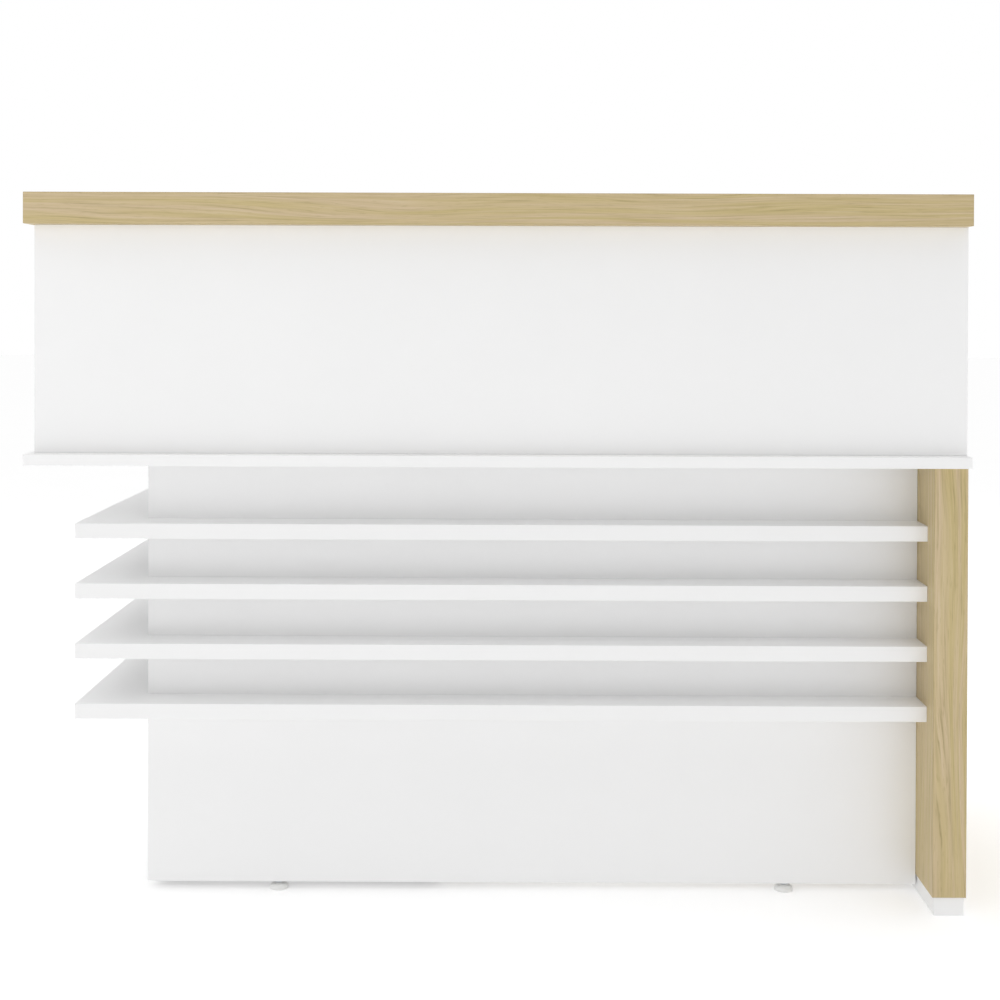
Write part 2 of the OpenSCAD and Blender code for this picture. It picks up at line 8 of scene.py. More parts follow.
# %% Load the frame
import bmesh
import bpy
import numpy as np
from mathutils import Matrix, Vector
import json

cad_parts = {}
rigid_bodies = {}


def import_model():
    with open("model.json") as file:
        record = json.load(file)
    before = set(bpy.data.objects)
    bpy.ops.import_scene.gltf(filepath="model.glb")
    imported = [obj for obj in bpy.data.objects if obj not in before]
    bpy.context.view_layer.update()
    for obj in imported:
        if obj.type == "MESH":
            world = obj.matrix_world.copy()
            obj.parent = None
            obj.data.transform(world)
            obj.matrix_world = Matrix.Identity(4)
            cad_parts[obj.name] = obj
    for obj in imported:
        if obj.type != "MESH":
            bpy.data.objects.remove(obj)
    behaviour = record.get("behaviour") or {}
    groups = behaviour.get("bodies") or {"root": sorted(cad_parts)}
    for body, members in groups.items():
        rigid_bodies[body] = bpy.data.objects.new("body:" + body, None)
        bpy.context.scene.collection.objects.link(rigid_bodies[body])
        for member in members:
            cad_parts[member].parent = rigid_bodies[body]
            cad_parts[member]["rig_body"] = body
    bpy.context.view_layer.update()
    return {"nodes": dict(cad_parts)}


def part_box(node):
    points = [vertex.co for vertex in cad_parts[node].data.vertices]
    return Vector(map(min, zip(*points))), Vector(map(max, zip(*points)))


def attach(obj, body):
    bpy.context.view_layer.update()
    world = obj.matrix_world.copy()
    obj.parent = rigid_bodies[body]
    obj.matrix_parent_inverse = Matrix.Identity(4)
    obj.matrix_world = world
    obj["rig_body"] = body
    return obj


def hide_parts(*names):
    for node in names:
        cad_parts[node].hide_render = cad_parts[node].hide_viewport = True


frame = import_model()
nodes = frame["nodes"]
MM = 0.001

# %% [markdown]
# ## Where the viewer stands
# The counter is seen nearly straight on, from a little above the work surface. Lines that
# run into the depth meet far above the centre of the picture, so the lens is shifted
# upwards like a view camera's, and the camera itself hardly tilts. That keeps the upright
# edges parallel. The focal length and distance follow from the counter's width and depth.

# %% Camera
CAMERA_AT = (0.0353, -0.300 - 2.400, 0.9627)  # 2.4 m in front of the top's front edge
PITCH_DOWN, TURN_LEFT, ROLL = 0.0080, 0.0030, 0.0032  # radians
FOCAL_PER_WIDTH = 1.5216                      # focal length over the picture's width
VANISHING = (0.5155, 0.3240)                  # where the depth lines meet, from the top left


def aim_camera():
    """A camera looks along its own -Z. Tilting it up a quarter turn makes it level, and
    the small pitch, turn and roll come after that."""
    data = bpy.data.cameras.new("camera")
    data.sensor_width = 36.0
    data.lens = FOCAL_PER_WIDTH * data.sensor_width
    data.shift_x = 0.5 - VANISHING[0]
    data.shift_y = VANISHING[1] - 0.5
    camera = bpy.data.objects.new("camera", data)
    camera.rotation_mode = "XYZ"
    camera.rotation_euler = (np.pi / 2 - PITCH_DOWN, -ROLL, TURN_LEFT)
    camera.location = CAMERA_AT
    bpy.context.scene.collection.objects.link(camera)
    bpy.context.scene.camera = camera
    return camera


camera = aim_camera()
print(f"lens {camera.data.lens:.1f} mm, shift {camera.data.shift_x:.3f}, {camera.data.shift_y:.3f}")

# %% [markdown]
# ## Light
# White boards need soft light from all round, so that each plane gets its own shade of
# near-white and no edge is lost. A pale room does most of that, in the next cell. Five
# softboxes, one or two on each side, add what an even room can't give, a bright line on
# each rounded edge and on the metal pulls. They are kept weak, because white boards pass
# the light on to each other and soon lose their shading.

# %% Softboxes
LIGHTS = {  # name: (place, what it points at, width, height, watts)
    "front_softbox": ((1.4, -4.3, 1.6), (0.0, 0.0, 0.6), 3.0, 2.2, 9.0),
    "left_softbox": ((-2.6, -3.4, 1.8), (0.0, 0.0, 0.5), 2.4, 2.0, 23.0),
    "far_left_softbox": ((-4.0, 1.0, 1.7), (0.0, 0.0, 0.5), 2.0, 1.4, 5.0),
    "right_softbox": ((4.0, 0.6, 1.9), (0.0, 0.0, 0.6), 2.0, 1.6, 12.0),
    "rear_softbox": ((-0.6, 4.4, 1.8), (0.0, 0.0, 0.6), 4.0, 2.0, 20.0),
}


def softbox(name, place, target, width, height, watts):
    """A rectangle of light at place, which faces the target."""
    data = bpy.data.lights.new(name, "AREA")
    data.shape = "RECTANGLE"
    data.size, data.size_y, data.energy = width, height, watts
    lamp = bpy.data.objects.new(name, data)
    lamp.location = place
    lamp.rotation_euler = (Vector(target) - Vector(place)).to_track_quat("-Z", "Y").to_euler()
    lamp.visible_camera = False
    bpy.context.scene.collection.objects.link(lamp)


for light_name, settings in LIGHTS.items():
    softbox(light_name, *settings)
print(f"{len(LIGHTS)} softboxes, {sum(light[-1] for light in LIGHTS.values()):.0f} W in all")

# %% [markdown]
# ## Room
# The room is the world's own light. A picture of a real room could stand in for it, but
# its windows would show in the chrome, so this one is drawn: about four times as bright
# overhead as at the horizon, which shades the boards from their tops down. It is made of
# shader nodes, and so are all the finishes. Shaders work in linear light, so every typed
# colour passes through one function first.
# The picture is shown with the plain "Standard" view, so that a board's printed colour
# comes out as the colour that is typed in below.

# %% Colours, shader nodes and the room
SEEN, HORIZON, OVERHEAD = 1.0, 0.36, 1.48
BRIGHTENS_FROM = 0.5   # height of the direction looked in, where straight up is 1


def linear(hex_code):
    """An sRGB colour such as "#c9b585" as linear red, green and blue. Each channel c
    becomes c / 12.92 where it is at most 0.04045, and ((c + 0.055) / 1.055) ^ 2.4 above."""
    c = np.array([int(hex_code[i:i + 2], 16) for i in (1, 3, 5)]) / 255.0
    return tuple(np.where(c <= 0.04045, c / 12.92, ((c + 0.055) / 1.055) ** 2.4)) + (1.0,)


def add(tree, kind, sockets=None, **settings):
    """Adds the node ShaderNode<kind>. sockets gives a value or an output to link for each
    input, by name or number, and settings are the node's own properties."""
    made = tree.nodes.new("ShaderNode" + kind)
    for key, value in settings.items():
        setattr(made, key, value)
    for key, value in (sockets or {}).items():
        if isinstance(value, bpy.types.NodeSocket):
            tree.links.new(value, made.inputs[key])
        else:
            made.inputs[key].default_value = value
    return made


def pale_room():
    """A white world whose light rises from the horizon to overhead with the height of the
    direction looked in. What shows behind the counter is plain white, as a backdrop with
    its own lights would be."""
    world = bpy.data.worlds.new("pale_room")
    world.use_nodes = True
    tree = world.node_tree
    tree.nodes.clear()
    up = add(tree, "SeparateXYZ", {"Vector": add(tree, "TexCoord").outputs["Generated"]})
    level = add(tree, "MapRange", {"Value": up.outputs["Z"], "From Min": BRIGHTENS_FROM,
                                   "To Min": HORIZON, "To Max": OVERHEAD})
    seen = add(tree, "LightPath").outputs["Is Camera Ray"]
    strength = add(tree, "Mix", {"Factor": seen, "A": level.outputs["Result"], "B": SEEN})
    sky = add(tree, "Background", {"Color": linear("#ffffff"), "Strength": strength.outputs["Result"]})
    add(tree, "OutputWorld", {"Surface": sky.outputs["Background"]})
    bpy.context.scene.world = world


pale_room()
bpy.context.scene.view_settings.view_transform = "Standard"
print(f"room {HORIZON} at the horizon and {OVERHEAD} overhead")

# %% [markdown]
# ## Materials from one small function
# Every finish below is a graph of shader nodes. The one function that adds a node, sets
# its values and links its inputs makes a graph read from top to bottom like a recipe.
# A value that is the same all over a surface goes straight on the shader's own socket.

# %% Material helpers
def new_material(name):
    """A material with only a Principled shader and an output. Returns it, its tree and its shader."""
    made = bpy.data.materials.new(name)
    made.use_nodes = True
    tree = made.node_tree
    tree.nodes.clear()
    shader = add(tree, "BsdfPrincipled")
    add(tree, "OutputMaterial", {"Surface": shader.outputs["BSDF"]})
    return made, tree, shader


def set_shader(tree, shader, **sockets):
    """Sets or links the shader's sockets. An underscore in a name stands for a space."""
    for key, value in sockets.items():
        socket = shader.inputs[key.replace("_", " ")]
        if isinstance(value, bpy.types.NodeSocket):
            tree.links.new(value, socket)
        else:
            socket.default_value = value


def ramp(tree, factor, stops):
    """A colour ramp from (position, hex colour) pairs."""
    made = add(tree, "ValToRGB", {"Fac": factor})
    elements = made.color_ramp.elements
    while len(elements) < len(stops):
        elements.new(0.5)
    for element, (position, colour) in zip(elements, stops):
        element.position, element.color = position, linear(colour)
    return made.outputs["Color"]


print("material helpers ready")

# %% [markdown]
# ## Wood-look melamine
# The top and the leg are boards faced with a printed oak paper under melamine resin, and
# their edges carry a strip of the same print. It is a pale straw oak: fine streaks two or
# three millimetres wide that run a hand's width along the board and wander a little,
# broader bands between olive and tan, and short dark pores. The print always runs along
# the board, on the strip as well. So each face is given its own flat coordinates, along
# the grain and across it in metres, and the pattern is drawn on those. A solid pattern in
# space would show end grain on the ends, which a printed paper never does.

# %% Oak print
STREAK_MM = (2.2, 170.0)     # fine streaks: width across the grain, length along it
BAND_MM = (9.0, 420.0)       # broad olive and tan bands
LINE_MM = (1.7, 110.0)       # dark growth lines
PORE_MM = (0.9, 22.0)        # drawn about three times as wide as real pores
WANDER_MM = (60.0, 700.0)    # the slow drift of the whole figure
RIPPLE_MM = (16.0, 130.0)    # the small waves in it
WANDER_PUSH_MM, RIPPLE_PUSH_MM = 60.0, 3.5   # how far each of them moves the figure sideways
# ARRIS_SHARE sets the darker olive painted on the rounded arrises: painted shade along each edge, and the
# strip's darker body.
BAND_SHARE, PORE_SHARE, ARRIS_SHARE = 0.45, 0.30, 0.35   # how strongly each one colours the print


def grain_noise(tree, grain, size_mm, detail=1.0, seed=0.0):
    """Noise whose blobs measure size_mm across and along the grain."""
    across, along = size_mm
    scaled = add(tree, "Mapping", {"Vector": grain, "Location": (seed, seed, seed),
                                   "Scale": (1000.0 / along, 1000.0 / across, 1.0)})
    made = add(tree, "TexNoise", {"Vector": scaled.outputs[0], "Scale": 1.0, "Detail": detail})
    return made.outputs["Fac"]


def oak_print(name, seed):
    """The across coordinate is first pushed sideways by two slow noises, wander and ripple.
    Streaks and bands then set the colour, growth lines and pores darken it, and the pores
    are also pressed into the resin. The rounded arrises are painted a darker olive: partly a
    painted shade line along each edge, partly the darker body of the trimmed strip."""
    made, tree, shader = new_material(name)
    flat = add(tree, "UVMap", uv_map="grain").outputs["UV"]
    wander = add(tree, "Math", {0: grain_noise(tree, flat, WANDER_MM, 1.0, seed + 7.0),
                                1: WANDER_PUSH_MM * MM}, operation="MULTIPLY")
    ripple = add(tree, "Math", {0: grain_noise(tree, flat, RIPPLE_MM, 1.0, seed + 9.0),
                                1: RIPPLE_PUSH_MM * MM, 2: wander.outputs[0]}, operation="MULTIPLY_ADD")
    push = add(tree, "CombineXYZ", {"Y": ripple.outputs[0]})
    grain = add(tree, "VectorMath", {0: flat, 1: push.outputs[0]}, operation="ADD").outputs["Vector"]
    streak = grain_noise(tree, grain, STREAK_MM, 2.0, seed)
    colour = ramp(tree, streak, [(0.27, "#b3a173"), (0.42, "#c3b184"), (0.55, "#ccb98f"),
                                 (0.72, "#d5c4a1")])
    band = grain_noise(tree, grain, BAND_MM, 1.0, seed + 3.0)
    tint = ramp(tree, band, [(0.35, "#c3b075"), (0.65, "#d0b99b")])
    colour = add(tree, "Mix", {"Factor": BAND_SHARE, "A": colour, "B": tint},
                 data_type="RGBA").outputs["Result"]
    lines = add(tree, "MapRange", {"Value": grain_noise(tree, grain, LINE_MM, 1.0, seed + 11.0),
                                   "From Min": 0.56, "From Max": 0.74, "To Min": 0.0, "To Max": 0.45})
    pores = grain_noise(tree, grain, PORE_MM, 1.0, seed + 17.0)
    pore = add(tree, "MapRange", {"Value": pores, "From Min": 0.60, "From Max": 0.75}).outputs[0]
    shade = add(tree, "Math", {0: pore, 1: PORE_SHARE, 2: lines.outputs[0]}, operation="MULTIPLY_ADD")
    colour = add(tree, "Mix", {"Factor": shade.outputs[0], "A": colour, "B": linear("#94824f")},
                 data_type="RGBA").outputs["Result"]
    # Painted shade: the round faces marked "arris" are darkened towards olive, a shade line along each edge
    # that also stands for the trimmed strip's darker body.
    arris_shade_and_core = add(tree, "Attribute", attribute_name="arris").outputs["Fac"]
    edge = add(tree, "Math", {0: arris_shade_and_core, 1: ARRIS_SHARE}, operation="MULTIPLY")
    colour = add(tree, "Mix", {"Factor": edge.outputs[0], "A": colour, "B": linear("#8f7c47")},
                 data_type="RGBA").outputs["Result"]
    dull = add(tree, "MapRange", {"Value": pores, "From Min": 0.3, "From Max": 0.8,
                                  "To Min": 0.42, "To Max": 0.58})
    pressed = add(tree, "Bump", {"Height": pore, "Strength": 0.35, "Distance": 0.06 * MM}, invert=True)
    set_shader(tree, shader, Base_Color=colour, Roughness=dull.outputs[0],
               Normal=pressed.outputs[0], IOR=1.5)
    return made


oak_top = oak_print("oak_print_melamine_top", 0.0)
oak_leg = oak_print("oak_print_melamine_leg", 5.3)
print("oak print:", oak_top.name, oak_leg.name)

# %% [markdown]
# ## White melamine
# The carcass is particle board faced with white melamine paper. The press plate leaves a
# very fine pearl texture in the resin, so the sheen is satin: the surface looks flat white
# from afar, and breaks up a highlight from close by. Its edge strips are plain white
# plastic, a shade smoother, and here they take the board's own finish.

# %% White boards
PEARL_MM = 1.4   # the real pearl is about 0.5 mm and would not show


def white_melamine(name, colour, roughness, pearl_mm):
    """Nearly one colour, with broad handling marks in the sheen and a fine pearl bump."""
    made, tree, shader = new_material(name)
    place = add(tree, "TexCoord").outputs["Object"]
    pearl = add(tree, "TexNoise", {"Vector": place, "Scale": 1000.0 / pearl_mm, "Detail": 1.0})
    cloud = add(tree, "TexNoise", {"Vector": place, "Scale": 4.0, "Detail": 3.0, "Roughness": 0.6})
    tone = ramp(tree, cloud.outputs["Fac"], [(0.35, colour[0]), (0.65, colour[1])])
    sheen = add(tree, "MapRange", {"Value": cloud.outputs["Fac"], "From Min": 0.3, "From Max": 0.7,
                                   "To Min": roughness - 0.03, "To Max": roughness + 0.05})
    bump = add(tree, "Bump", {"Height": pearl.outputs["Fac"], "Strength": 0.12, "Distance": 0.02 * MM})
    set_shader(tree, shader, Base_Color=tone, Roughness=sheen.outputs[0], Normal=bump.outputs[0], IOR=1.5)
    return made


melamine = white_melamine("white_melamine_board", ("#f7f7f7", "#f8f8f8"), 0.42, PEARL_MM)
drawer_melamine = white_melamine("drawer_white_melamine", ("#ebebea", "#eeeeed"), 0.45, PEARL_MM)
print("white boards:", melamine.name, drawer_melamine.name)

# %% [markdown]
# ## Raw particle board
# The frames hidden inside the thick slabs are raw board: pressed chips a few millimetres
# long, from straw to brown. Cells of random tone give the chips.

# %% Particle board
CHIP_MM = 3.5


def particle_board(name):
    """Each cell of a Voronoi pattern is one chip with its own tone; the cell walls are bumps."""
    made, tree, shader = new_material(name)
    place = add(tree, "TexCoord").outputs["Object"]
    chips = add(tree, "TexVoronoi", {"Vector": place, "Scale": 1000.0 / CHIP_MM})
    grey = add(tree, "SeparateColor", {"Color": chips.outputs["Color"]})
    tone = ramp(tree, grey.outputs["Red"], [(0.0, "#8d6f45"), (0.5, "#b4935f"), (1.0, "#cdb07c")])
    bump = add(tree, "Bump", {"Height": chips.outputs["Distance"], "Strength": 0.5, "Distance": 0.3 * MM})
    set_shader(tree, shader, Base_Color=tone, Roughness=0.85, Normal=bump.outputs[0])
    return made


raw_board = particle_board("raw_particle_board")
print("core:", raw_board.name)

# %% [markdown]
# ## Metals
# The fittings are steel with four finishes. Bright zinc plating is a little blue and
# cloudy. Satin nickel on the pulls and hinges is brushed, so its roughness runs in fine
# lines. The lock is polished chrome. Screws and studs are plain bright steel.

# %% Metal finishes
def metal(name, tones, roughness, spread, grain_mm=(2.0, 2.0, 2.0), bump_mm=0.003):
    """A metal whose tone and roughness follow one noise, stretched to grain_mm along each
    axis: equal sizes give a cloudy plating, one long size gives brushing."""
    made, tree, shader = new_material(name)
    place = add(tree, "TexCoord").outputs["Object"]
    scaled = add(tree, "Mapping", {"Vector": place, "Scale": tuple(1000.0 / g for g in grain_mm)})
    cloud = add(tree, "TexNoise", {"Vector": scaled.outputs[0], "Scale": 1.0, "Detail": 3.0})
    tone = ramp(tree, cloud.outputs["Fac"], [(0.3, tones[0]), (0.7, tones[1])])
    rough = add(tree, "MapRange", {"Value": cloud.outputs["Fac"], "From Min": 0.25, "From Max": 0.75,
                                   "To Min": roughness - spread, "To Max": roughness + spread})
    bump = add(tree, "Bump", {"Height": cloud.outputs["Fac"], "Strength": 0.3, "Distance": bump_mm * MM})
    set_shader(tree, shader, Base_Color=tone, Metallic=1.0, Roughness=rough.outputs[0],
               Normal=bump.outputs[0])
    return made


zinc = metal("bright_zinc_plating", ("#c0c4c9", "#d0d3d6"), 0.36, 0.04, (7.0, 7.0, 7.0), 0.004)
nickel_x = metal("satin_nickel_brushed_along_x", ("#bdb9b2", "#cfcbc4"), 0.30, 0.07, (40.0, 0.4, 0.4))
nickel_z = metal("satin_nickel_brushed_along_z", ("#bdb9b2", "#cfcbc4"), 0.30, 0.07, (0.4, 0.4, 40.0))
chrome = metal("polished_chrome_plating", ("#d6d8da", "#e2e3e4"), 0.07, 0.03, (8.0, 8.0, 8.0), 0.002)
steel = metal("bright_steel", ("#b1b3b5", "#c2c3c4"), 0.30, 0.05, (4.0, 4.0, 4.0), 0.003)
print("metals:", [m.name for m in (zinc, nickel_x, nickel_z, chrome, steel)])

# %% [markdown]
# ## Moulded plastic
# The foot pads, the cable sleeve, the screw caps and the catch are moulded white or grey
# polypropylene. Spark-eroded moulds leave an even, fine grain, and the surface is matte.

# %% Plastics
GRAIN_MM = 0.6   # spark-eroded grain, drawn about twice as coarse as it is


def moulded(name, tones, roughness):
    """A matte plastic with a fine grain bump and a slow drift in tone."""
    made, tree, shader = new_material(name)
    place = add(tree, "TexCoord").outputs["Object"]
    grain = add(tree, "TexNoise", {"Vector": place, "Scale": 1000.0 / GRAIN_MM, "Detail": 2.0})
    drift = add(tree, "TexNoise", {"Vector": place, "Scale": 60.0, "Detail": 2.0})
    tone = ramp(tree, drift.outputs["Fac"], [(0.35, tones[0]), (0.65, tones[1])])
    rough = add(tree, "MapRange", {"Value": grain.outputs["Fac"], "From Min": 0.3, "From Max": 0.7,
                                   "To Min": roughness - 0.04, "To Max": roughness + 0.06})
    bump = add(tree, "Bump", {"Height": grain.outputs["Fac"], "Strength": 0.25, "Distance": 0.03 * MM})
    set_shader(tree, shader, Base_Color=tone, Roughness=rough.outputs[0], Normal=bump.outputs[0], IOR=1.49)
    return made


white_plastic = moulded("moulded_white_polypropylene", ("#efefed", "#f3f3f1"), 0.48)
grey_plastic = moulded("moulded_grey_polypropylene", ("#c9cacb", "#d0d1d2"), 0.52)
print("plastics:", white_plastic.name, grey_plastic.name)

# %% [markdown]
# ## Boards with softened edges
# A cut board with a glued edge strip never has a razor edge: the strip is trimmed and
# rounded to about a millimetre, and that thin round catches a line of light. The CAD
# boards have sharp edges and are cut up into triangles. So each one is copied, its
# triangles are merged into flat faces, and the edges on the outside of its box are
# found. Those are the ones to round.

# %% Board copies and their outer edges
FLAT_ANGLE = np.radians(0.5)


def merged_copy(node):
    """The CAD node's mesh as a bmesh, its doubles merged and its flat faces joined."""
    bm = bmesh.new()
    bm.from_mesh(nodes[node].data)
    bmesh.ops.remove_doubles(bm, verts=bm.verts, dist=0.001 * MM)
    bmesh.ops.dissolve_limit(bm, angle_limit=FLAT_ANGLE, verts=bm.verts, edges=bm.edges)
    return bm


def outer_edges(bm):
    """The edges that lie on two faces of the mesh's bounding box at once."""
    co = np.array([v.co for v in bm.verts])
    lo, hi = co.min(0), co.max(0)
    near = 0.02 * MM
    on_face = np.hstack([np.abs(co - lo) < near, np.abs(co - hi) < near])
    return [e for e in bm.edges
            if (on_face[e.verts[0].index] & on_face[e.verts[1].index]).sum() >= 2]


print("board helpers ready")

# %% [markdown]
# ## Flat coordinates for the print
# A printed paper lies flat on its board, so its pattern needs flat coordinates on every
# face. Unwrapping would make them, and then each board would have its own scale. A board
# faces only six ways, so two of each corner's three coordinates do as well, picked by the
# way that the face looks, and they are in metres already.

# %% Grain coordinates
def grain_coordinates(mesh, along):
    """Writes the UV map "grain": each face's corners get their distance along the grain and
    across it, in metres. along is the axis that the grain follows; on faces square to it
    the print follows the longer side. Each of the six directions starts elsewhere in the
    print, as strips cut from different sheets do."""
    count = len(mesh.loops)
    corner = np.zeros(count, int)
    mesh.loops.foreach_get("vertex_index", corner)
    co = np.zeros(len(mesh.vertices) * 3)
    mesh.vertices.foreach_get("co", co)
    co = co.reshape(-1, 3)
    size = co.max(0) - co.min(0)
    normal = np.zeros(len(mesh.polygons) * 3)
    mesh.polygons.foreach_get("normal", normal)
    normal = normal.reshape(-1, 3)
    totals = np.zeros(len(mesh.polygons), int)
    mesh.polygons.foreach_get("loop_total", totals)
    facing = np.abs(normal).argmax(1)
    side = np.take_along_axis(normal, facing[:, None], 1)[:, 0] > 0
    pair = np.array([[1, 2], [0, 2], [0, 1]])[facing]
    swap = np.where(facing == along, size[pair[:, 0]] < size[pair[:, 1]], pair[:, 1] == along)
    pair = np.where(swap[:, None], pair[:, ::-1], pair)
    start = facing * 1.37 + side * 0.61
    face = np.repeat(np.arange(len(totals)), totals)
    uv = np.stack([co[corner, pair[face, 0]] + start[face], co[corner, pair[face, 1]] + start[face]], 1)
    layer = mesh.uv_layers.new(name="grain")
    layer.data.foreach_set("uv", uv.ravel().astype(np.float32))


print("grain helper ready")

# %% [markdown]
# ## Putting a piece on its body
# Every piece drawn here belongs to one body of the CAD model and moves with it, and most
# of them stand for a CAD node, which is then hidden. Each piece could be parented by hand,
# but one that is forgotten stays behind when its joint moves, so one function does it all.

# %% Finished pieces
def finish_piece(name, mesh, body, material, *replaced):
    """Puts a finished mesh in the scene: it rides on a body and stands for CAD nodes."""
    piece = bpy.data.objects.new(name, mesh)
    bpy.context.scene.collection.objects.link(piece)
    mesh.materials.clear()
    mesh.materials.append(material)
    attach(piece, body)
    if replaced:
        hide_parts(*replaced)
    return piece


print("piece helper ready")

# %% [markdown]
# ## Rounding the boards
# A Bevel modifier would round every sharp edge. The bevel operator takes a list of edges,
# so saw cuts and screw holes stay as they are.
# The round is cut into the board, so the board keeps its size. Only the round is shaded
# smooth, because a smooth shade on the flat faces would make them look dented.

# %% Softened boards
ROUND_SEGMENTS = 3
SQUARE_ON = 0.9999   # a face whose normal is this close to an axis is flat, not part of a round


def soften(node, material, along=0, radius_mm=0.8):
    """A copy of a CAD node with its doubles merged, flat faces joined and outer edges rounded."""
    bm = merged_copy(node)
    bm.verts.index_update()
    for face in bm.faces:
        face.smooth = False
    # Round faces are marked "arris"; the oak print paints them darker, as a painted shade line along each
    # edge and the trimmed strip's darker body.
    arris = bm.faces.layers.float.new("arris")
    rounded = bmesh.ops.bevel(bm, geom=outer_edges(bm), offset=radius_mm * MM, segments=ROUND_SEGMENTS,
                              profile=0.5, affect="EDGES", clamp_overlap=True)
    for face in rounded["faces"]:
        if max(map(abs, face.normal)) < SQUARE_ON:
            face.smooth, face[arris] = True, 1.0
    mesh = bpy.data.meshes.new(node + "_board")
    bm.to_mesh(mesh)
    bm.free()
    grain_coordinates(mesh, along)
    return finish_piece(node + "_board", mesh, nodes[node]["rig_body"], material, node)


OAK_BOARDS = {  # node: (material, the axis its grain follows, radius of its edges in mm)
    "top_upper_skin": (oak_top, 0, 0.15),
    "top_lower_skin": (oak_top, 0, 0.15),
    "top_edge_band": (oak_top, 0, 0.7),
    "leg_inner_board": (oak_leg, 2, 0.15),
    "leg_outer_board": (oak_leg, 2, 0.15),
    "leg_edge_band": (oak_leg, 2, 0.7),
}
WHITE_BOARDS = ["front_fascia", "upper_end_left", "upper_end_right", "upper_divider", "work_surface",
                "front_panel", "side_panel", "partition", "leg_plinth", "display_shelf_1",
                "display_shelf_2", "display_shelf_3", "display_shelf_4", "cabinet_floor",
                "cabinet_rail", "inner_shelf", "drawer_front", "cabinet_door"]
DRAWER_BOARDS = ["drawer_sides", "drawer_back", "drawer_bottom"]

for node, (material, along, radius) in OAK_BOARDS.items():
    soften(node, material, along, radius)
for node in WHITE_BOARDS:
    soften(node, melamine)
for node in DRAWER_BOARDS:
    soften(node, drawer_melamine, radius_mm=0.4)
print(f"{len(OAK_BOARDS) + len(WHITE_BOARDS) + len(DRAWER_BOARDS)} boards softened")

# %% [markdown]
# ## Stamped and turned fittings with eased edges
# Brackets, slide rails, hinge leaves and cam locks are stamped, rolled or die-cast. None
# of them has a sharp edge, and the thin bright line along each edge is what says "metal"
# to the eye. Their CAD shape is right otherwise, so a copy is merged and every edge
# sharper than 35 degrees gets a small round. Facets of a hole are far flatter than that,
# so they stay.

# %% Eased fittings
EASED_ANGLE, SMOOTH_ANGLE = np.radians(35.0), np.radians(32.0)


def ease(node, material, radius_mm):
    """A copy of a CAD node with all its sharp edges rounded by the given radius."""
    bm = merged_copy(node)
    bend = {e: e.calc_face_angle() for e in bm.edges if e.is_manifold}
    for face in bm.faces:
        face.smooth = any(FLAT_ANGLE < bend.get(e, 0.0) < EASED_ANGLE for e in face.edges)
    sharp = [e for e, angle in bend.items() if angle > EASED_ANGLE]
    rounded = bmesh.ops.bevel(bm, geom=sharp, offset=radius_mm * MM, segments=2, profile=0.5,
                              affect="EDGES", clamp_overlap=True)
    for face in rounded["faces"]:
        face.smooth = True
    mesh = bpy.data.meshes.new(node + "_eased")
    bm.to_mesh(mesh)
    bm.free()
    mesh.set_sharp_from_angle(angle=SMOOTH_ANGLE)
    return finish_piece(node + "_eased", mesh, nodes[node]["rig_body"], material, node)


EASED = {  # node: (finish, radius of its edges in mm)
    "cam_locks": (zinc, 0.25), "angle_brackets": (zinc, 0.3),
    "drawer_slide_rails": (zinc, 0.25), "drawer_slide_carriages": (steel, 0.25),
    "drawer_slide_runners": (zinc, 0.25), "lock_cam": (steel, 0.3), "lock_plug": (chrome, 0.3),
    "hinge_frame_leaves": (nickel_z, 0.2), "hinge_door_leaves": (nickel_z, 0.2),
    "door_strike": (steel, 0.3), "door_catch": (grey_plastic, 0.8),
}
for node, (material, radius) in EASED.items():
    piece = ease(node, material, radius)
    print(f"{piece.name}: {len(piece.data.polygons)} faces")

# %% [markdown]
# ## Finishes on the CAD nodes that stay
# The core frames and the fasteners inside the boards are only seen if the counter is
# taken apart. Their CAD shape is right, and they get their finish here.

# %% Finishes on CAD nodes
FINISHES = {"top_core_frame": raw_board, "leg_core_frame": raw_board, "cam_bolts": steel,
            "shelf_screws": steel, "foot_inserts": zinc}
for node, material in FINISHES.items():
    for material_slot in nodes[node].material_slots:
        material_slot.material = material
print(f"{len(FINISHES)} CAD nodes given their finish")

# %% [markdown]
# ## Shapes from arrays of points
# A turned part is a profile carried round an axis, and a milled one is a section carried
# along a path. Both give a grid of points in rows and columns. No turned or moulded corner
# is quite sharp, so a profile's corners are rounded before it is carried anywhere.

# %% Profiles and turned grids
def rounded(corners, radius, steps=4):
    """A profile with its inner corners rounded. Each corner P becomes the curve
    (1 - t)^2 A + 2 t (1 - t) P + t^2 B between the points A and B that lie the radius
    away from P on its two sides. Corners and radius are in millimetres."""
    p = np.asarray(corners, float) * MM
    reach = np.broadcast_to(np.asarray(radius, float), len(p) - 2)[:, None] * MM
    here = p[1:-1]
    sides = [p[:-2] - here, p[2:] - here]
    lengths = [np.linalg.norm(side, axis=1, keepdims=True) for side in sides]
    start, end = (here + side / size * np.minimum(reach, 0.45 * size) for side, size in zip(sides, lengths))
    t = np.linspace(0.0, 1.0, steps)[None, :, None]
    curve = (1 - t) ** 2 * start[:, None] + 2 * t * (1 - t) * here[:, None] + t ** 2 * end[:, None]
    return np.vstack([p[:1], curve.reshape(-1, 2), p[-1:]])


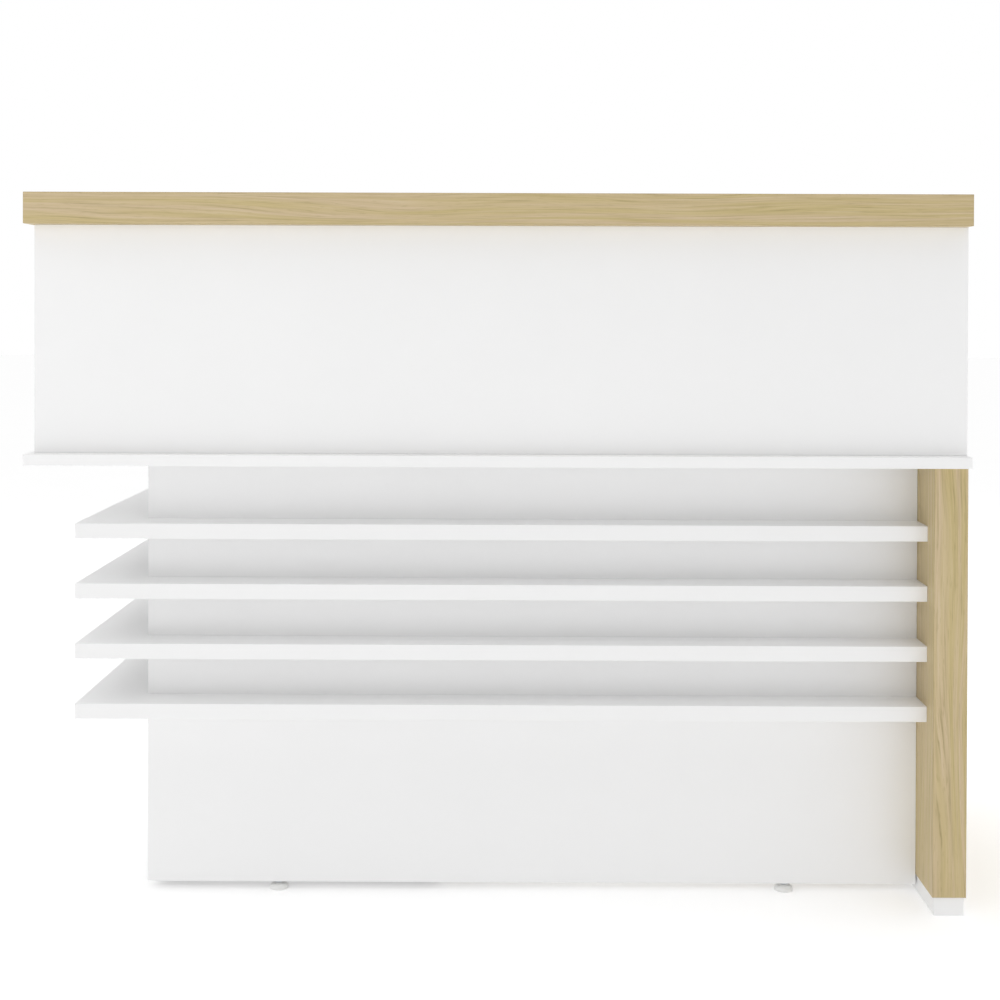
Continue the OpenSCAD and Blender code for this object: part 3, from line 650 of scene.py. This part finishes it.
def turned(profile, sides, at=(0.0, 0.0, 0.0), axis=2, sign=1.0, shape=None):
    """A profile of (radius, height) rows carried round an axis through at. The point at
    angle a is at + sign * height * w + radius * (cos a * u + sin a * v), with u, v and w
    the world's axes and w the chosen one. shape may change radius and height, as a function
    of radius, angle and height."""
    angle = np.linspace(0.0, 2 * np.pi, sides, endpoint=False)[None, :]
    radius, height = (profile[:, k][:, None] + 0.0 * angle for k in (0, 1))
    if shape is not None:
        radius, height = shape(radius, angle, height)
    points = np.zeros(radius.shape + (3,)) + np.asarray(at, float)
    points[..., axis] += sign * height
    points[..., (axis + 1) % 3] += radius * np.cos(angle)
    points[..., (axis + 2) % 3] += radius * np.sin(angle)
    return points


print("grid helpers ready")

# %% [markdown]
# ## Grids joined into one piece
# One function joins such grids into a mesh: it makes a four-sided face between
# neighbouring points, lets the last column meet the first, and merges points that
# coincide, which closes the poles. Several grids in one mesh make one piece of many like
# parts, such as all the screws of a kind.

# %% Grids to meshes
MERGE_MM = 0.001


def assemble(name, grids, body, material, *replaced):
    """One mesh from grids of points, rows x columns x 3, each closed round its columns."""
    points, quads, start = [], [], 0
    for grid in grids:
        rows, columns = grid.shape[:2]
        index = start + np.arange(rows * columns).reshape(rows, columns)
        beside = np.roll(index, -1, axis=1)
        quads.append(np.stack([index[:-1], beside[:-1], beside[1:], index[1:]], -1).reshape(-1, 4))
        points.append(grid.reshape(-1, 3))
        start += rows * columns
    mesh = bpy.data.meshes.new(name)
    mesh.from_pydata(np.vstack(points).tolist(), [], np.vstack(quads).tolist())
    bm = bmesh.new()
    bm.from_mesh(mesh)
    bmesh.ops.remove_doubles(bm, verts=bm.verts, dist=MERGE_MM * MM)
    bmesh.ops.recalc_face_normals(bm, faces=bm.faces)
    bm.to_mesh(mesh)
    bm.free()
    mesh.polygons.foreach_set("use_smooth", np.ones(len(mesh.polygons), bool))
    mesh.set_sharp_from_angle(angle=SMOOTH_ANGLE)
    print(f"{name}: {len(mesh.polygons)} faces")
    return finish_piece(name, mesh, body, material, *replaced)


print("mesh helper ready")

# %% [markdown]
# ## Where the CAD parts are
# A fitting is drawn round the CAD part that it stands for, so its place and size are read
# from the frame and never typed in again. Like fasteners share one CAD node. Their points
# are parted into separate solids by following the edges, because two screws never share
# one.

# %% Measures of a CAD node
def corners_of(node):
    """The lowest and highest corner of a CAD node, as arrays in metres."""
    return tuple(np.array(corner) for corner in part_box(node))


def solids_of(node):
    """The points of each separate solid of a CAD node. Every point starts with its own
    label, and each edge gives both its ends the lower label until nothing changes."""
    bm = merged_copy(node)
    bm.verts.index_update()
    points = np.array([v.co for v in bm.verts])
    a, b = np.array([[v.index for v in e.verts] for e in bm.edges]).T
    bm.free()
    label, before = np.arange(len(points)), None
    while before is None or (label != before).any():
        before = label.copy()
        np.minimum.at(label, a, before[b])
        np.minimum.at(label, b, before[a])
    return [points[label == k] for k in np.unique(label)]


print("shape helpers ready")

# %% [markdown]
# ## Levelling feet
# Each foot is a moulded pad on a threaded stud. The pad is a low dome with a collar at
# the top and flutes round its rim, so that fingers can turn it, and it stands on a ring
# round its underside. It could be turned with the Screw modifier, but the flutes need the
# angle as well, so the whole surface is worked out as a grid of height and angle.

# %% Foot pads
FLUTES, FLUTE_DEPTH = 16, 0.5 * MM
PAD_RIM_H, COLLAR_R, COLLAR_H, SOCKET_R, SOCKET_Z = 3.2, 6.6, 1.6, 4.06, 4.0


def foot_pad(i):
    """A turned profile: standing ring, rim, an elliptical dome r = c + (R - c) cos t,
    z = rim + h sin t, collar and socket. Flutes press the rim in where sin(n a) > 0."""
    low, high = corners_of(f"foot_pad_{i}")
    r, h = (high[0] - low[0]) / 2 / MM, (high[2] - low[2]) / MM
    t = np.linspace(0.0, np.pi / 2, 12)
    dome = np.stack([COLLAR_R + 1 + (r - COLLAR_R - 1) * np.cos(t),
                     PAD_RIM_H + (h - COLLAR_H - PAD_RIM_H) * np.sin(t)], 1) * MM
    under = rounded([(0, 0.5), (r - 4.5, 0.5), (r - 4, 0), (r, 0), (r, PAD_RIM_H)], 0.5)
    collar = rounded([(COLLAR_R, h - COLLAR_H), (COLLAR_R, h), (SOCKET_R, h), (SOCKET_R, SOCKET_Z),
                      (0, SOCKET_Z)], 0.3)

    def fluted(radius, angle, height):
        rim = (radius > (r - 0.6) * MM) & (height > 0.3 * MM)
        return radius - rim * FLUTE_DEPTH * np.clip(np.sin(FLUTES * angle), 0, 1), height

    at = ((low[0] + high[0]) / 2, (low[1] + high[1]) / 2, low[2])
    grid = turned(np.vstack([under, dome, collar]), FLUTES * 8, at, shape=fluted)
    return assemble(f"foot_pad_{i}_fluted", [grid], f"foot_{i}", white_plastic, f"foot_pad_{i}")


for i in range(1, 5):
    foot_pad(i)

# %% [markdown]
# ## Threads
# Each stud is an M8 screw: turning it once lowers the pad by 1.25 mm. A thread is a groove
# that climbs one pitch in each turn, so its depth depends on height and angle together.

# %% Threaded studs
THREAD_PITCH, THREAD_DEPTH, ROWS_PER_TURN = 1.25 * MM, 0.68 * MM, 6


def foot_stud(i):
    """A thread: the radius is R - depth * w, where w is a triangle wave of z / pitch - a / 2 pi,
    so that the crest climbs one pitch each turn. It fades out at both ends."""
    low, high = corners_of(f"foot_stud_{i}")
    length, outer = high[2] - low[2], (high[0] - low[0]) / 2
    z = np.linspace(0.0, length, int(length / THREAD_PITCH * ROWS_PER_TURN))
    profile = np.stack([np.full_like(z, outer), z], 1)
    profile = np.vstack([(0.0, 0.0), profile, (0.0, length)])

    def thread(radius, angle, height):
        phase = (height / THREAD_PITCH - angle / (2 * np.pi)) % 1.0
        wave = np.clip(1.25 * (1 - np.abs(2 * phase - 1)) - 0.1, 0, 1)
        ends = np.clip(np.minimum(height, length - height) / THREAD_PITCH, 0, 1)
        groove = THREAD_DEPTH * (1 - (1 - wave) * ends)
        return np.where(radius > 0, radius - groove, 0.0), height

    at = ((low[0] + high[0]) / 2, (low[1] + high[1]) / 2, low[2])
    grid = turned(profile, 24, at, shape=thread)
    return assemble(f"foot_stud_{i}_threaded", [grid], f"stud_{i}", steel, f"foot_stud_{i}")


for i in range(1, 5):
    foot_stud(i)

# %% [markdown]
# ## Bar pulls
# A bar pull is a drawn bar with two turned posts. The bar's ends are rounded over, and
# each post spreads into a small foot where it meets the board, which hides its screw hole.

# %% Bar pulls
END_ROUND, POST_R, POST_FOOT_R, POST_FOOT_H, POST_SPREAD = 1.6, 4.0, 6.5, 1.6, 3.0


def bar_pull(node, along, material):
    """Three turned grids: the bar about its own axis, and two posts about Y. A post's foot
    curves in from the foot's radius to the post's."""
    low, high = corners_of(node)
    body = nodes[node]["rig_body"]
    other = 2 if along == 0 else 0
    r, middle = (high[other] - low[other]) / 2 / MM, (low + high) / 2
    half = (high[along] - low[along]) / 2 / MM
    bar = rounded([(0, -half), (r, -half), (r, half), (0, half)], END_ROUND, 6)
    at = middle.copy()
    at[1] = high[1] - r * MM
    grids = [turned(bar, 40, at, along)]
    points = np.array([v.co for v in nodes[node].data.vertices])
    base = points[points[:, 1] < low[1] + 0.1 * MM][:, along]
    reach = (at[1] - low[1]) / MM
    post = rounded([(0, 0), (POST_FOOT_R, 0), (POST_FOOT_R, POST_FOOT_H),
                    (POST_R, POST_FOOT_H + POST_SPREAD), (POST_R, reach), (0, reach)],
                   [0.3, 0.8, 3.0, 0.1], 6)
    for side in (base[base < middle[along]], base[base > middle[along]]):
        foot = middle.copy()
        foot[along], foot[1] = side.mean(), low[1]
        grids.append(turned(post, 32, foot, 1))
    return assemble(node + "_turned", grids, body, material, node)


bar_pull("drawer_handle", 0, nickel_x)
bar_pull("door_handle", 2, nickel_z)

# %% [markdown]
# ## Drawer lock
# The housing is a turned brass barrel, plated, with a flange outside the drawer front and
# a hexagonal nut behind it. Both are profiles carried round the lock's axis: the nut is
# the same kind of grid with only six columns.

# %% Lock housing
BARREL_R, BORE_R, FLANGE_R, FLANGE_H, NUT_H = 9.5, 7.05, 12.0, 2.0, 4.0


def lock_housing():
    """Two turned grids about Y: the barrel with its flange and bore, and a nut with six sides."""
    low, high = corners_of("lock_housing")
    plug_low, plug_high = corners_of("lock_plug")
    axis_x, axis_z = (low[0] + high[0]) / 2, (plug_low[2] + plug_high[2]) / 2
    at, length = (axis_x, low[1], axis_z), (high[1] - low[1]) / MM
    face = length - FLANGE_H
    barrel = rounded([(BORE_R, 0), (BARREL_R, 0), (BARREL_R, face), (FLANGE_R, face), (FLANGE_R, length),
                      (BORE_R, length), (BORE_R, 0)], [0.5, 0.1, 0.2, 0.9, 0.5], 5)
    nut_r = (high[0] - low[0]) / 2 / MM
    nut = rounded([(BARREL_R + 0.1, 0), (nut_r, 0), (nut_r, NUT_H), (BARREL_R + 0.1, NUT_H),
                   (BARREL_R + 0.1, 0)], 0.4)
    nut_at = (axis_x, corners_of("drawer_front")[0][1] - NUT_H * MM, axis_z)
    grids = [turned(barrel, 64, at, 1), turned(nut, 6, nut_at, 1)]
    return assemble("lock_housing_turned", grids, "drawer", chrome, "lock_housing")


lock_housing()

# %% [markdown]
# ## Key
# The key has a pressed bow with a hole for a ring, and a blade with a milled groove and
# the cuts that lift the lock's pins. The bow is a ring whose section is a flat loop, and
# the blade is a section carried along its length, so no holes have to be cut.

# %% Key
BLADE_HALF_W, KEY_HALF_T, RING_HOLE_R, RING_HOLE_OFF, GROOVE = 3.8, 1.2, 3.0, 4.0, 0.45
CUT_DEPTHS_MM, CUT_SHARE = (1.7, 0.9, 2.2, 1.3, 1.9, 0.0), 0.62   # the last one is the uncut part
CUTS = len(CUT_DEPTHS_MM) - 1
LOOP_W = 7.0   # the width that the bow's section is drawn with before it is stretched


def key():
    """The bow runs between two circles: (1 - s) * hole edge + s * bow edge, with s and the
    thickness following a rounded loop. The blade is a rounded section carried along Y. Its
    lower edge rises by a triangle wave along the cut part, and one side has a groove."""
    low, high = corners_of("key")
    bow_r = (high[2] - low[2]) / 2
    centre = np.array([(low[0] + high[0]) / 2, high[1] - bow_r, (low[2] + high[2]) / 2])
    a = np.linspace(0, 2 * np.pi, 64, endpoint=False)[None, :]
    loop = rounded([(0, 0), (0, KEY_HALF_T), (LOOP_W, KEY_HALF_T), (LOOP_W, -KEY_HALF_T),
                    (0, -KEY_HALF_T), (0, 0)], 0.6, 5)
    share, thick = loop[:, :1] / (LOOP_W * MM), loop[:, 1:]
    hole_y = centre[1] + RING_HOLE_OFF * MM + RING_HOLE_R * MM * np.cos(a)
    edge_r = bow_r * (1 - 0.05 * np.sin(a) ** 2 * np.cos(2 * a) ** 2)
    hole_up, edge_up = RING_HOLE_R * MM * np.sin(a), edge_r * np.sin(a)
    bow = np.stack([centre[0] + thick + 0 * a,
                    (1 - share) * hole_y + share * (centre[1] + edge_r * np.cos(a)),
                    centre[2] + (1 - share) * hole_up + share * edge_up], -1)
    length = centre[1] - 0.8 * bow_r - low[1]
    s = np.linspace(0, 1, 90)[:, None]
    t, w, groove = KEY_HALF_T, BLADE_HALF_W, KEY_HALF_T - GROOVE
    section = rounded([(0, w), (t, w), (t, 0.8), (groove, 0.4), (groove, -0.4), (t, -0.8), (t, -w),
                       (-t, -w), (-t, w), (0, w)], 0.3, 3)[:-1]
    x, z = section[:, 0][None, :], section[:, 1][None, :]
    cut_part = np.clip((CUT_SHARE - s) * 20, 0, 1) * np.clip(s * 30, 0, 1)
    place = s / CUT_SHARE * CUTS
    depth = np.array(CUT_DEPTHS_MM)[np.minimum(place.astype(int), CUTS)] * MM
    cut = depth * cut_part * (1 - np.abs(2 * (place % 1.0) - 1))
    taper = np.clip(s * 12, 0.25, 1)
    up = np.where(z < 0, np.maximum(z * taper, cut - BLADE_HALF_W * MM), z * taper)
    blade = np.stack([centre[0] + x * taper, low[1] + s * length + 0 * x, centre[2] + up], -1)
    ends = [np.broadcast_to(row.mean(0), row.shape)[None] for row in (blade[0], blade[-1])]
    grids = [bow, np.vstack([ends[0], blade, ends[1]])]
    return assemble("key_cut", grids, "lock", steel, "key")


key()

# %% [markdown]
# ## Screws, caps and pins
# Small fasteners give the cabinet its scale. A pan-head screw is a low dome with a cross
# recess. The caps that cover the display shelves' screws are thin moulded discs. A shelf
# pin has a collar that stops it at the panel. Each is placed on its own CAD solid.

# %% Fasteners
HEAD_R, HEAD_H, SHANK_R, SCREW_POINT = 4.0, 2.2, 2.0, 4.0
RECESS_HALF_W, RECESS_REACH, RECESS_DEPTH = 0.62, 2.3, 1.2
PIN_COLLAR_AT, PIN_COLLAR_T, PIN_COLLAR_OUT = 8.0, 0.8, 1.0


def cross_recess(radius, angle, height, depth_mm=RECESS_DEPTH):
    """Pushes the top of a head in where the point is within half a width of either arm."""
    x, y = np.abs(radius * np.cos(angle)), np.abs(radius * np.sin(angle))
    arm = np.minimum(x, y) < RECESS_HALF_W * MM
    inside = arm & (np.maximum(x, y) < RECESS_REACH * MM) & (height > -HEAD_H * 0.5 * MM)
    return radius, height - inside * depth_mm * MM


def bracket_screw(points):
    """A pan head on a tapered shank. The head is at the end where the solid is widest."""
    axis = int(np.ptp(points, axis=0).argmax())
    middle = (points.min(0) + points.max(0)) / 2
    off = np.delete(points - middle, axis, 1)
    wide = np.linalg.norm(off, axis=1) > 0.9 * HEAD_R * MM
    sign = np.sign((points[wide] - middle)[:, axis].mean())
    length = np.ptp(points, axis=0)[axis] / MM
    r = np.array([0, 0.6, 1.2, 1.7, 2.1, 2.4, 3.0, 3.5])
    dome = np.stack([r, -1.2 * (r / HEAD_R) ** 2.6], 1) * MM
    rest = rounded([(3.7, -1.0), (HEAD_R, -1.5), (HEAD_R, -HEAD_H), (SHANK_R, -HEAD_H),
                    (SHANK_R, SCREW_POINT - length), (0, -length)], 0.25, 3)
    at = middle.copy()
    at[axis] += sign * length / 2 * MM
    return turned(np.vstack([dome, rest]), 24, at, axis, sign, cross_recess)


def screw_cap(points):
    """A thin disc with a soft dome, z = h (1 - (r / R)^4), on its panel."""
    size = np.ptp(points, axis=0)
    axis = int(size.argmin())
    r = np.linspace(0, 1, 8)
    outer, h = size[(axis + 1) % 3] / 2, size[axis]
    dome = np.stack([outer * (1 - 0.04 * r ** 8) * r, h * (1 - 0.75 * r ** 4)], 1)
    profile = np.vstack([dome, (outer, 0.15 * h), (outer, 0), (0, 0)])
    at = (points.min(0) + points.max(0)) / 2
    at[axis] -= h / 2
    return turned(profile, 28, at, axis)


def shelf_pin(points, inward):
    """A pin with a round nose and a collar at the panel's face."""
    low, high = points.min(0), points.max(0)
    length, r = (high[0] - low[0]) / MM, (high[2] - low[2]) / 2 / MM
    start, end, out = PIN_COLLAR_AT, PIN_COLLAR_AT + PIN_COLLAR_T, r + PIN_COLLAR_OUT
    profile = rounded([(0, 0), (r, 0), (r, start), (out, start), (out, end), (r, end), (r, length),
                       (0, length)], [0.4, 0.1, 0.2, 0.2, 0.1, 1.2], 4)
    at = (low + high) / 2
    at[0] -= inward * length / 2 * MM
    return turned(profile, 24, at, 0, inward)


bay_middle = sum(corners_of("shelf_pins"))[0] / 2
assemble("bracket_screws_pan_head", [bracket_screw(p) for p in solids_of("bracket_screws")],
         "carcass", steel, "bracket_screws")
assemble("screw_caps_moulded", [screw_cap(p) for p in solids_of("screw_caps")],
         "carcass", white_plastic, "screw_caps")
assemble("shelf_pins_collared",
         [shelf_pin(p, np.sign(bay_middle - p[:, 0].mean())) for p in solids_of("shelf_pins")],
         "carcass", steel, "shelf_pins")

# %% [markdown]
# ## Hinges
# Each hinge is two stamped leaves rolled round a pin. The pin's ends are peened over into
# small domes, and three countersunk screws hold each leaf. The screws' heads are the only
# thing the CAD model leaves out, so they are added to the leaves.

# %% Hinge pins and screws
HINGE_HEAD_R, HEAD_PROUD, HEAD_SINK, SINK_R = 2.7, 0.12, 0.9, 1.8
PIN_R, PEEN_H = 1.5, 1.2
SCREW_SPREAD = 0.32   # the outer screws' distance from the middle, as a share of the leaf's height


def hinge_pin(points):
    """A rod with a domed head at each end."""
    low, high = points.min(0), points.max(0)
    length, head = (high[2] - low[2]) / MM, (high[0] - low[0]) / 2 / MM
    top = length - PEEN_H
    profile = rounded([(0, 0), (head, 0), (head, PEEN_H), (PIN_R, PEEN_H), (PIN_R, top), (head, top),
                       (head, length), (0, length)], [0.9, 0.1, 0.1, 0.1, 0.1, 0.9], 5)
    at = (low + high) / 2
    at[2] = low[2]
    return turned(profile, 28, at)


def leaf_screws(node, towards):
    """Three flat heads on each leaf, spread over its height, on the face that looks along X
    times towards. Each is a cone that ends just proud of the face."""
    grids = []
    for points in solids_of(node):
        low, high = points.min(0), points.max(0)
        flat = points[points[:, 1] < low[1] + 1 * MM]
        face = flat[:, 0].max() if towards > 0 else flat[:, 0].min()
        r = np.array([0, 0.5, 1.0, 1.4, 1.8, 2.1, 2.4])
        top = np.stack([r, HEAD_PROUD + 0 * r], 1) * MM
        rest = np.array([(HINGE_HEAD_R, HEAD_PROUD - 0.05), (HINGE_HEAD_R, 0.0), (SINK_R, -HEAD_SINK),
                         (0, -HEAD_SINK)]) * MM
        for share in (-SCREW_SPREAD, 0, SCREW_SPREAD):
            at = (face, (low[1] * 2 + high[1]) / 3, (low[2] + high[2]) / 2 + share * (high[2] - low[2]))
            grids.append(turned(np.vstack([top, rest]), 24, at, 0, towards, shallow_recess))
    return grids


def shallow_recess(radius, angle, height):
    """The cross recess of a countersunk head, less deep than its cone."""
    return cross_recess(radius, angle, height, 0.6)


assemble("hinge_pins_peened", [hinge_pin(p) for p in solids_of("hinge_pins")],
         "carcass", nickel_z, "hinge_pins")
for name, leaves, body, towards in (("hinge_frame_screws", "hinge_frame_leaves", "carcass", 1),
                                    ("hinge_door_screws", "hinge_door_leaves", "door", -1)):
    assemble(name, leaf_screws(leaves, towards), body, steel)

# %% [markdown]
# ## Ball cages in the drawer slides
# A full-extension slide runs on two rows of steel balls on each side of its carriage: one
# row between the cabinet's rail and the carriage, one between the carriage and the
# drawer's runner. They are what shows when the drawer is open.

# %% Slide balls
BALL_R, BALL_PITCH, BALL_INSET, SHEET_T = 1.6, 9.0, 12.0, 1.2


def slide_balls():
    """Small spheres r = R sin t, h = -R cos t in rows along Y, halfway between two channels' flanges."""
    t = np.linspace(0, np.pi, 7)
    ball = np.stack([BALL_R * np.sin(t), -BALL_R * np.cos(t)], 1) * MM
    channels = [sorted(solids_of("drawer_slide_" + k), key=lambda points: points[:, 0].mean())
                for k in ("rails", "carriages", "runners")]
    grids = []
    for rail, carriage, runner in zip(*channels):
        low, high = carriage.min(0), carriage.max(0)
        y = np.arange(low[1] + BALL_INSET * MM, high[1] - BALL_INSET * MM, BALL_PITCH * MM)
        x, z_mid = (low[0] + high[0]) / 2, (low[2] + high[2]) / 2
        half_rail, half_carriage, half_runner = (np.ptp(p[:, 2]) / 2 for p in (rail, carriage, runner))
        rows = [(half_rail - SHEET_T * MM + half_carriage) / 2,
                (half_carriage - SHEET_T * MM + half_runner) / 2]
        for row in rows:
            for side in (-1, 1):
                grids += [turned(ball, 8, (x, place, z_mid + side * row)) for place in y]
    return assemble("drawer_slide_balls", grids, "carriages", steel)


slide_balls()

# %% [markdown]
# ## Magnetic catch
# The catch is a small plastic case with two steel pole plates that stand a hair proud of
# it, and the strike on the door meets them when the door is shut.

# %% Pole plates
PLATE_T, PLATE_PROUD, PLATE_IN, PLATE_SHORT = 1.2, 0.35, 6.0, 4.0


def pole_plates():
    """Two plates, each a rounded rectangle carried a short way along Y."""
    low, high = corners_of("door_catch")
    grids = []
    half_t, half_h = PLATE_T / 2, (high[2] - low[2]) / 2 / MM - PLATE_SHORT
    for share in (0.3, 0.7):
        section = rounded([(0, half_h), (half_t, half_h), (half_t, -half_h), (-half_t, -half_h),
                           (-half_t, half_h), (0, half_h)], 0.3, 3)[:-1]
        y = np.array([-PLATE_IN, -PLATE_IN, PLATE_PROUD - 0.1, PLATE_PROUD, PLATE_PROUD]) * MM
        scale = np.array([0.0, 1.0, 1.0, 0.97, 0.0])[:, None]
        x = low[0] + share * (high[0] - low[0]) + scale * section[:, 0]
        z = (low[2] + high[2]) / 2 + scale * section[:, 1]
        grids.append(np.stack([x, high[1] + y[:, None] + 0 * x, z], -1))
    return assemble("door_catch_pole_plates", grids, "carcass", steel)


pole_plates()

# %% [markdown]
# ## Cable outlet
# A plastic sleeve lines the hole in the work surface, with a rounded flange on top. The
# bore stays open for cables.

# %% Cable outlet
OUTLET_BORE_R, SLEEVE_R = 26.0, 29.9
RIBS_Z, RIB_HALF_H, RIB_DEPTH = (15.0, 11.0, 7.0), 1.0, 0.5


def cable_outlet():
    """One turned grid: up inside the bore, over the rounded flange and down the outside, with
    three shallow ribs that grip the board."""
    low, high = corners_of("cable_grommet")
    flange_r, h = (high[0] - low[0]) / 2 / MM, (high[2] - low[2]) / MM
    board_top = (corners_of("work_surface")[1][2] - low[2]) / MM
    bore, sleeve = OUTLET_BORE_R, SLEEVE_R
    corners = [(bore, 0), (bore, h), (flange_r, h), (flange_r, board_top), (sleeve, board_top)]
    radii = [1.0, 1.4, 0.3]
    for z in RIBS_Z:
        corners += [(sleeve, z + RIB_HALF_H), (sleeve - RIB_DEPTH, z), (sleeve, z - RIB_HALF_H)]
        radii += [0.1, 0.1, 0.1]
    corners += [(sleeve, 0), (bore, 0)]
    radii += [0.1, 0.4]
    at = ((low[0] + high[0]) / 2, (low[1] + high[1]) / 2, low[2])
    return assemble("cable_outlet_sleeve", [turned(rounded(corners, radii, 4), 96, at)],
                    "carcass", white_plastic, "cable_grommet")


cable_outlet()

# %% [markdown]
# ## The floor
# One pale, matte sheet, far larger than the view. It glows a little, like the lit sweep of
# a product table, so that it stays as white as the backdrop and softens the shadow under
# the counter.

# %% Stage
FLOOR_HALF = 30.0
FLOOR_GLOW = 0.21


def stage_floor():
    """A square of floor at z = 0 with a soft, even tone."""
    mesh = bpy.data.meshes.new("floor")
    h = FLOOR_HALF
    mesh.from_pydata([(-h, -h, 0), (h, -h, 0), (h, h, 0), (-h, h, 0)], [], [(0, 1, 2, 3)])
    made, tree, shader = new_material("pale_matte_floor")
    place = add(tree, "TexCoord").outputs["Object"]
    cloud = add(tree, "TexNoise", {"Vector": place, "Scale": 3.0})
    tone = ramp(tree, cloud.outputs["Fac"], [(0.4, "#fafafa"), (0.6, "#fbfbfb")])
    set_shader(tree, shader, Base_Color=tone, Roughness=0.9, Emission_Color=linear("#ffffff"),
               Emission_Strength=FLOOR_GLOW)
    mesh.materials.append(made)
    floor = bpy.data.objects.new("floor", mesh)
    bpy.context.scene.collection.objects.link(floor)


stage_floor()
print(f"floor {2 * FLOOR_HALF:.0f} m square")

# %% [markdown]

# %% Closing import
import json
